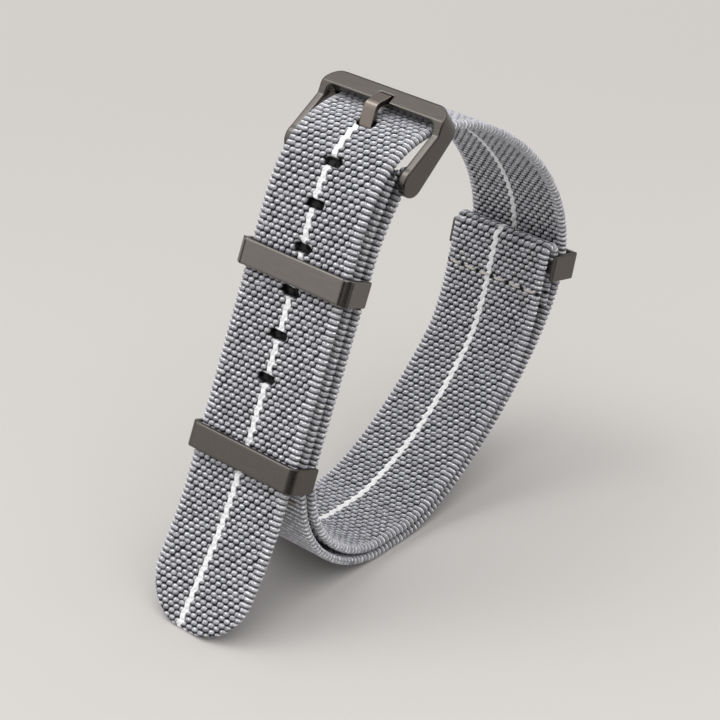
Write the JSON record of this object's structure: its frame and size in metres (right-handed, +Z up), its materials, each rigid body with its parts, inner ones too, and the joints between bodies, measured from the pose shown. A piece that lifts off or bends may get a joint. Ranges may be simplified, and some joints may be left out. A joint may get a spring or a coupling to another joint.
{
  "type": "stretch watch band",
  "caption": "Woven elastic watch band closed as a loop: tang buckle on a sprung bar, free tail held by metal keepers, inner strap with a folded ring loop.",
  "frame": {"origin": "on the surface the band stands on, under the middle of its overall length and width", "axes": "+X from the free tail to the back of the loop, +Y across the webbing, +Z up"},
  "size_m": [0.0852, 0.0244, 0.0765],
  "materials": {
    "webbing": "coarse two-tone grey ribbed weave with a white zig-zag line",
    "thread": "matt sewing thread",
    "fold_thread": "matt beige-grey sewing thread",
    "buckle_metal": "satin gunmetal",
    "tang_metal": "satin warm gunmetal",
    "bar_metal": "drawn steel",
    "upper_keeper_metal": "satin gunmetal",
    "keeper_metal": "satin dark gunmetal"
  },
  "bodies": {
    "strap": {"long_strap": "webbing", "short_strap": "webbing", "spring_bar_tube": "bar_metal", "spring_bar_spring": "bar_metal", "seam_top": "thread", "seam_middle": "thread", "seam_bottom": "thread", "ring_fold_seam": "fold_thread"},
    "buckle": {"buckle_frame": "buckle_metal"},
    "tang": {"tang": "tang_metal"},
    "pin_left": {"spring_bar_pin_left": "bar_metal"},
    "pin_right": {"spring_bar_pin_right": "bar_metal"},
    "upper_keeper": {"upper_keeper": "upper_keeper_metal"},
    "lower_keeper": {"lower_keeper": "keeper_metal"},
    "ring": {"ring_keeper": "keeper_metal"}
  },
  "joints": [
    {"name": "buckle_hinge", "type": "hinge", "parent": "strap", "child": "buckle", "pos_m": [-0.00345, 0, 0.06754], "axis": [0, -1, 0], "range_deg": [0, 2.5]},
    {"name": "tang_hinge", "type": "hinge", "parent": "buckle", "child": "tang", "pos_m": [-0.00345, 0, 0.06754], "axis": [0, -1, 0], "range_deg": [0, 3]},
    {"name": "pin_left_slide", "type": "slide", "parent": "strap", "child": "pin_left", "axis": [0, 1, 0], "range_m": [0, 0.0012], "stiffness_N_per_m": 400, "deforming": ["spring_bar_spring"]},
    {"name": "pin_right_slide", "type": "slide", "parent": "strap", "child": "pin_right", "axis": [0, -1, 0], "range_m": [0, 0.0012], "stiffness_N_per_m": 400, "deforming": ["spring_bar_spring"]},
    {"name": "upper_keeper_slide", "type": "slide", "parent": "strap", "child": "upper_keeper", "axis": [0.3955, 0, 0.9184], "range_m": [-0.02, 0.003]},
    {"name": "lower_keeper_slide", "type": "slide", "parent": "strap", "child": "lower_keeper", "axis": [0.3955, 0, 0.9184], "range_m": [0, 0.004]},
    {"name": "ring_hinge", "type": "hinge", "parent": "strap", "child": "ring", "pos_m": [0.0361, 0, 0.03698], "axis": [0, -1, 0], "range_deg": [-3, 3]}
  ]
}
